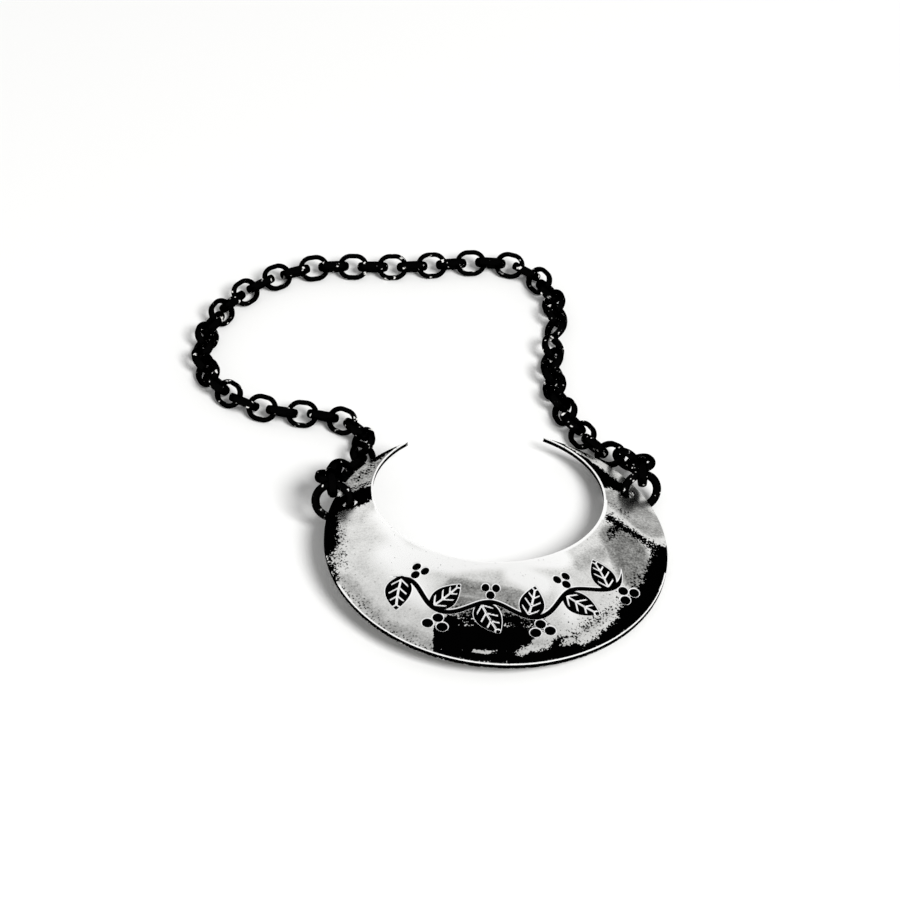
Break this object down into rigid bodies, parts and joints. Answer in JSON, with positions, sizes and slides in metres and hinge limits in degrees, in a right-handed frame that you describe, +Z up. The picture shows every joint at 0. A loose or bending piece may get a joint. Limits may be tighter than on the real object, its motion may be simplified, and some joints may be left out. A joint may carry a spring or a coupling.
{
  "type": "wine label",
  "caption": "Silver wine label: a bowed crescent plate that hangs round a bottle neck on a belcher chain with a jump ring at each horn",
  "frame": {"origin": "on the table, under the centre of the bay that goes round the bottle neck", "axes": "+X across the plate to its right horn's side, +Y from the belly past the horns to the far side of the chain, +Z up"},
  "size_m": [0.0702, 0.103, 0.0106],
  "materials": {
    "plate_silver": "worn polished silver with dark tarnish in patches",
    "ring_silver": "oxidised silver wire, nearly black",
    "chain_silver": "oxidised silver wire, nearly black with bright worn spots"
  },
  "bodies": {
    "plate": {"plate": "plate_silver"},
    "left_ring": {"left_ring": "ring_silver"},
    "right_ring": {"right_ring": "ring_silver"},
    "link_01": {"link_01": "chain_silver"},
    "link_02": {"link_02": "chain_silver"},
    "link_03": {"link_03": "chain_silver"},
    "link_04": {"link_04": "chain_silver"},
    "link_05": {"link_05": "chain_silver"},
    "link_06": {"link_06": "chain_silver"},
    "link_07": {"link_07": "chain_silver"},
    "link_08": {"link_08": "chain_silver"},
    "link_09": {"link_09": "chain_silver"},
    "link_10": {"link_10": "chain_silver"},
    "link_11": {"link_11": "chain_silver"},
    "link_12": {"link_12": "chain_silver"},
    "link_13": {"link_13": "chain_silver"},
    "link_14": {"link_14": "chain_silver"},
    "link_15": {"link_15": "chain_silver"},
    "link_16": {"link_16": "chain_silver"},
    "link_17": {"link_17": "chain_silver"},
    "link_18": {"link_18": "chain_silver"},
    "link_19": {"link_19": "chain_silver"},
    "link_20": {"link_20": "chain_silver"},
    "link_21": {"link_21": "chain_silver"},
    "link_22": {"link_22": "chain_silver"},
    "link_23": {"link_23": "chain_silver"},
    "link_24": {"link_24": "chain_silver"},
    "link_25": {"link_25": "chain_silver"},
    "link_26": {"link_26": "chain_silver"},
    "link_27": {"link_27": "chain_silver"},
    "link_28": {"link_28": "chain_silver"},
    "link_29": {"link_29": "chain_silver"},
    "link_30": {"link_30": "chain_silver"},
    "link_31": {"link_31": "chain_silver"},
    "link_32": {"link_32": "chain_silver"},
    "link_33": {"link_33": "chain_silver"},
    "link_34": {"link_34": "chain_silver"},
    "link_35": {"link_35": "chain_silver"},
    "link_36": {"link_36": "chain_silver"},
    "link_37": {"link_37": "chain_silver"},
    "link_38": {"link_38": "chain_silver"},
    "link_39": {"link_39": "chain_silver"},
    "link_40": {"link_40": "chain_silver"},
    "link_41": {"link_41": "chain_silver"},
    "link_42": {"link_42": "chain_silver"},
    "link_43": {"link_43": "chain_silver"},
    "link_44": {"link_44": "chain_silver"},
    "link_45": {"link_45": "chain_silver"},
    "link_46": {"link_46": "chain_silver"},
    "link_47": {"link_47": "chain_silver"},
    "link_48": {"link_48": "chain_silver"},
    "link_49": {"link_49": "chain_silver"},
    "link_50": {"link_50": "chain_silver"},
    "link_51": {"link_51": "chain_silver"},
    "link_52": {"link_52": "chain_silver"},
    "link_53": {"link_53": "chain_silver"},
    "link_54": {"link_54": "chain_silver"},
    "link_55": {"link_55": "chain_silver"},
    "link_56": {"link_56": "chain_silver"},
    "link_57": {"link_57": "chain_silver"}
  },
  "joints": [
    {"name": "left_ring_turn", "type": "hinge", "parent": "plate", "child": "left_ring", "pos_m": [-0.02403, 0.00021, 0.00621], "axis": [0.1176, 0.9212, -0.3709], "range_deg": [-20, 10]},
    {"name": "right_ring_turn", "type": "hinge", "parent": "plate", "child": "right_ring", "pos_m": [0.0236, 0.00029, 0.00313], "axis": [0.1675, -0.9207, 0.3524], "range_deg": [-20, 20]},
    {"name": "link_01_swing", "type": "hinge", "parent": "left_ring", "child": "link_01", "pos_m": [-0.02402, 0.00174, 0.00841], "axis": [-0.9993, -0.038, 0], "range_deg": [-30, 0]},
    {"name": "link_02_swing", "type": "hinge", "parent": "link_01", "child": "link_02", "pos_m": [-0.02418, 0.00474, 0.00695], "axis": [0.1803, 0.4294, 0.8849], "range_deg": [-10, 30]},
    {"name": "link_03_swing", "type": "hinge", "parent": "link_02", "child": "link_03", "pos_m": [-0.02353, 0.00761, 0.00546], "axis": [0.8037, -0.5502, -0.2264], "range_deg": [-30, 30]},
    {"name": "link_04_swing", "type": "hinge", "parent": "link_03", "child": "link_04", "pos_m": [-0.02179, 0.00989, 0.0038], "axis": [-0.5496, -0.0641, -0.833], "range_deg": [-30, 30]},
    {"name": "link_05_swing", "type": "hinge", "parent": "link_04", "child": "link_05", "pos_m": [-0.0198, 0.0122, 0.00251], "axis": [-0.6466, 0.5896, 0.4841], "range_deg": [-30, 30]},
    {"name": "link_06_swing", "type": "hinge", "parent": "link_05", "child": "link_06", "pos_m": [-0.01813, 0.01502, 0.00201], "axis": [0.594, -0.1418, 0.7918], "range_deg": [-30, 30]},
    {"name": "link_07_swing", "type": "hinge", "parent": "link_06", "child": "link_07", "pos_m": [-0.01755, 0.01829, 0.00201], "axis": [0.7069, 0.0209, -0.707], "range_deg": [-30, 30]},
    {"name": "link_08_swing", "type": "hinge", "parent": "link_07", "child": "link_08", "pos_m": [-0.0181, 0.02156, 0.0019], "axis": [-0.6261, -0.3291, -0.7069], "range_deg": [-30, 30]},
    {"name": "link_09_swing", "type": "hinge", "parent": "link_08", "child": "link_09", "pos_m": [-0.02008, 0.02419, 0.00185], "axis": [-0.4491, -0.5462, 0.7071], "range_deg": [-30, 30]},
    {"name": "link_10_swing", "type": "hinge", "parent": "link_09", "child": "link_10", "pos_m": [-0.02294, 0.02587, 0.00185], "axis": [0.2685, 0.6542, 0.7071], "range_deg": [-30, 30]},
    {"name": "link_11_swing", "type": "hinge", "parent": "link_10", "child": "link_11", "pos_m": [-0.02613, 0.02683, 0.00185], "axis": [0.2012, 0.6779, -0.7071], "range_deg": [-30, 30]},
    {"name": "link_12_swing", "type": "hinge", "parent": "link_11", "child": "link_12", "pos_m": [-0.02933, 0.02778, 0.00185], "axis": [-0.2405, -0.665, -0.7071], "range_deg": [-30, 30]},
    {"name": "link_13_swing", "type": "hinge", "parent": "link_12", "child": "link_13", "pos_m": [-0.03242, 0.02902, 0.00185], "axis": [-0.3387, -0.6207, 0.7071], "range_deg": [-30, 30]},
    {"name": "link_14_swing", "type": "hinge", "parent": "link_13", "child": "link_14", "pos_m": [-0.03521, 0.03083, 0.00185], "axis": [0.4572, 0.5394, 0.7071], "range_deg": [-30, 30]},
    {"name": "link_15_swing", "type": "hinge", "parent": "link_14", "child": "link_15", "pos_m": [-0.03757, 0.03317, 0.00185], "axis": [0.5525, 0.4413, -0.7071], "range_deg": [-30, 30]},
    {"name": "link_16_swing", "type": "hinge", "parent": "link_15", "child": "link_16", "pos_m": [-0.03947, 0.03591, 0.00185], "axis": [-0.6288, -0.3234, -0.7071], "range_deg": [-30, 0]},
    {"name": "link_17_swing", "type": "hinge", "parent": "link_16", "child": "link_17", "pos_m": [-0.04075, 0.03898, 0.00185], "axis": [-0.6824, -0.1852, 0.7071], "range_deg": [0, 30]},
    {"name": "link_18_swing", "type": "hinge", "parent": "link_17", "child": "link_18", "pos_m": [-0.04138, 0.04225, 0.00185], "axis": [0.7065, 0.0296, 0.7071], "range_deg": [0, 30]},
    {"name": "link_19_swing", "type": "hinge", "parent": "link_18", "child": "link_19", "pos_m": [-0.04119, 0.04557, 0.00185], "axis": [0.699, -0.1068, -0.7071], "range_deg": [-30, 0]},
    {"name": "link_20_swing", "type": "hinge", "parent": "link_19", "child": "link_20", "pos_m": [-0.04051, 0.04883, 0.00185], "axis": [-0.6773, 0.2031, -0.7071], "range_deg": [-30, 0]},
    {"name": "link_21_swing", "type": "hinge", "parent": "link_20", "child": "link_21", "pos_m": [-0.0394, 0.05197, 0.00185], "axis": [-0.6396, 0.3015, 0.7071], "range_deg": [0, 30]},
    {"name": "link_22_swing", "type": "hinge", "parent": "link_21", "child": "link_22", "pos_m": [-0.03779, 0.05488, 0.00185], "axis": [0.59, -0.3897, 0.7071], "range_deg": [0, 30]},
    {"name": "link_23_swing", "type": "hinge", "parent": "link_22", "child": "link_23", "pos_m": [-0.03583, 0.05758, 0.00185], "axis": [0.5358, -0.4615, -0.7071], "range_deg": [-30, 0]},
    {"name": "link_24_swing", "type": "hinge", "parent": "link_23", "child": "link_24", "pos_m": [-0.03354, 0.05999, 0.00185], "axis": [-0.4635, 0.534, -0.7071], "range_deg": [-30, 30]},
    {"name": "link_25_swing", "type": "hinge", "parent": "link_24", "child": "link_25", "pos_m": [-0.03089, 0.06202, 0.00185], "axis": [-0.3797, 0.5965, 0.7071], "range_deg": [-30, 30]},
    {"name": "link_26_swing", "type": "hinge", "parent": "link_25", "child": "link_26", "pos_m": [-0.028, 0.06366, 0.00185], "axis": [0.285, -0.6471, 0.7071], "range_deg": [-30, 30]},
    {"name": "link_27_swing", "type": "hinge", "parent": "link_26", "child": "link_27", "pos_m": [-0.02487, 0.0648, 0.00185], "axis": [0.1872, -0.6819, -0.7071], "range_deg": [-30, 30]},
    {"name": "link_28_swing", "type": "hinge", "parent": "link_27", "child": "link_28", "pos_m": [-0.02162, 0.06554, 0.00185], "axis": [-0.076, 0.703, -0.7071], "range_deg": [-30, 30]},
    {"name": "link_29_swing", "type": "hinge", "parent": "link_28", "child": "link_29", "pos_m": [-0.0183, 0.06565, 0.00185], "axis": [0.0434, 0.7058, 0.7071], "range_deg": [-30, 30]},
    {"name": "link_30_swing", "type": "hinge", "parent": "link_29", "child": "link_30", "pos_m": [-0.01499, 0.06523, 0.00185], "axis": [-0.0968, -0.7004, 0.7071], "range_deg": [-30, 30]},
    {"name": "link_31_swing", "type": "hinge", "parent": "link_30", "child": "link_31", "pos_m": [-0.01169, 0.06477, 0.00185], "axis": [-0.0942, -0.7008, -0.7071], "range_deg": [-30, 30]},
    {"name": "link_32_swing", "type": "hinge", "parent": "link_31", "child": "link_32", "pos_m": [-0.00839, 0.06433, 0.00185], "axis": [0.0774, 0.7029, -0.7071], "range_deg": [-30, 30]},
    {"name": "link_33_swing", "type": "hinge", "parent": "link_32", "child": "link_33", "pos_m": [-0.00507, 0.06401, 0.00185], "axis": [0.0387, 0.706, 0.7071], "range_deg": [-30, 30]},
    {"name": "link_34_swing", "type": "hinge", "parent": "link_33", "child": "link_34", "pos_m": [-0.00174, 0.06393, 0.00185], "axis": [-0.0088, -0.7071, 0.7071], "range_deg": [-30, 30]},
    {"name": "link_35_swing", "type": "hinge", "parent": "link_34", "child": "link_35", "pos_m": [0.00159, 0.06391, 0.00185], "axis": [-0.0156, -0.7069, -0.7071], "range_deg": [-30, 30]},
    {"name": "link_36_swing", "type": "hinge", "parent": "link_35", "child": "link_36", "pos_m": [0.00492, 0.06381, 0.00185], "axis": [0.0558, 0.7049, -0.7071], "range_deg": [-30, 30]},
    {"name": "link_37_swing", "type": "hinge", "parent": "link_36", "child": "link_37", "pos_m": [0.00824, 0.06347, 0.00185], "axis": [0.1577, 0.6893, 0.7071], "range_deg": [-30, 30]},
    {"name": "link_38_swing", "type": "hinge", "parent": "link_37", "child": "link_38", "pos_m": [0.01142, 0.0625, 0.00185], "axis": [-0.3426, -0.6185, 0.7071], "range_deg": [-30, 30]},
    {"name": "link_39_swing", "type": "hinge", "parent": "link_38", "child": "link_39", "pos_m": [0.01408, 0.06052, 0.00185], "axis": [-0.5285, -0.4698, -0.7071], "range_deg": [-30, 30]},
    {"name": "link_40_swing", "type": "hinge", "parent": "link_39", "child": "link_40", "pos_m": [0.01596, 0.05778, 0.00185], "axis": [0.6408, 0.2989, -0.7071], "range_deg": [-30, 30]},
    {"name": "link_41_swing", "type": "hinge", "parent": "link_40", "child": "link_41", "pos_m": [0.01704, 0.05464, 0.00185], "axis": [0.6885, 0.1612, 0.7071], "range_deg": [-30, 30]},
    {"name": "link_42_swing", "type": "hinge", "parent": "link_41", "child": "link_42", "pos_m": [0.01762, 0.05136, 0.00185], "axis": [-0.7054, -0.0492, 0.7071], "range_deg": [-30, 30]},
    {"name": "link_43_swing", "type": "hinge", "parent": "link_42", "child": "link_43", "pos_m": [0.01764, 0.04803, 0.00185], "axis": [-0.7041, 0.0653, -0.7071], "range_deg": [-30, 30]},
    {"name": "link_44_swing", "type": "hinge", "parent": "link_43", "child": "link_44", "pos_m": [0.01711, 0.04474, 0.00185], "axis": [0.6934, -0.1383, -0.7071], "range_deg": [-30, 30]},
    {"name": "link_57_swing", "type": "hinge", "parent": "right_ring", "child": "link_57", "pos_m": [0.02401, 0.00184, 0.00541], "axis": [0.9924, -0.1227, 0], "range_deg": [-30, 30]},
    {"name": "link_56_swing", "type": "hinge", "parent": "link_57", "child": "link_56", "pos_m": [0.02447, 0.005, 0.00443], "axis": [-0.2059, 0.3041, 0.9301], "range_deg": [-30, 0]},
    {"name": "link_55_swing", "type": "hinge", "parent": "link_56", "child": "link_55", "pos_m": [0.02295, 0.00765, 0.00323], "axis": [-0.7158, -0.6528, -0.2482], "range_deg": [-30, 30]},
    {"name": "link_54_swing", "type": "hinge", "parent": "link_55", "child": "link_54", "pos_m": [0.02075, 0.01004, 0.00248], "axis": [0.3802, 0.1425, -0.9138], "range_deg": [-24, 24]},
    {"name": "link_53_swing", "type": "hinge", "parent": "link_54", "child": "link_53", "pos_m": [0.0187, 0.01264, 0.00216], "axis": [0.7201, 0.4817, 0.4993], "range_deg": [-30, 30]},
    {"name": "link_52_swing", "type": "hinge", "parent": "link_53", "child": "link_52", "pos_m": [0.01714, 0.01557, 0.00208], "axis": [-0.5694, -0.2159, 0.7932], "range_deg": [-30, 30]},
    {"name": "link_51_swing", "type": "hinge", "parent": "link_52", "child": "link_51", "pos_m": [0.01609, 0.01873, 0.00202], "axis": [-0.6749, -0.2119, -0.7069], "range_deg": [-30, 30]},
    {"name": "link_50_swing", "type": "hinge", "parent": "link_51", "child": "link_50", "pos_m": [0.01523, 0.02195, 0.00191], "axis": [0.6967, 0.1223, -0.7069], "range_deg": [-30, 30]},
    {"name": "link_49_swing", "type": "hinge", "parent": "link_50", "child": "link_49", "pos_m": [0.0147, 0.02524, 0.00185], "axis": [0.7029, 0.0771, 0.7071], "range_deg": [-30, 30]},
    {"name": "link_48_swing", "type": "hinge", "parent": "link_49", "child": "link_48", "pos_m": [0.01448, 0.02856, 0.00185], "axis": [-0.7071, -0.0049, 0.7071], "range_deg": [-30, 30]},
    {"name": "link_47_swing", "type": "hinge", "parent": "link_48", "child": "link_47", "pos_m": [0.01459, 0.03189, 0.00185], "axis": [-0.7044, 0.0622, -0.7071], "range_deg": [-30, 30]},
    {"name": "link_46_swing", "type": "hinge", "parent": "link_47", "child": "link_46", "pos_m": [0.01499, 0.0352, 0.00185], "axis": [0.6976, -0.1154, -0.7071], "range_deg": [-30, 30]},
    {"name": "link_45_swing", "type": "hinge", "parent": "link_46", "child": "link_45", "pos_m": [0.01562, 0.03847, 0.00185], "axis": [0.6892, -0.1582, 0.7071], "range_deg": [-30, 30]}
  ]
}
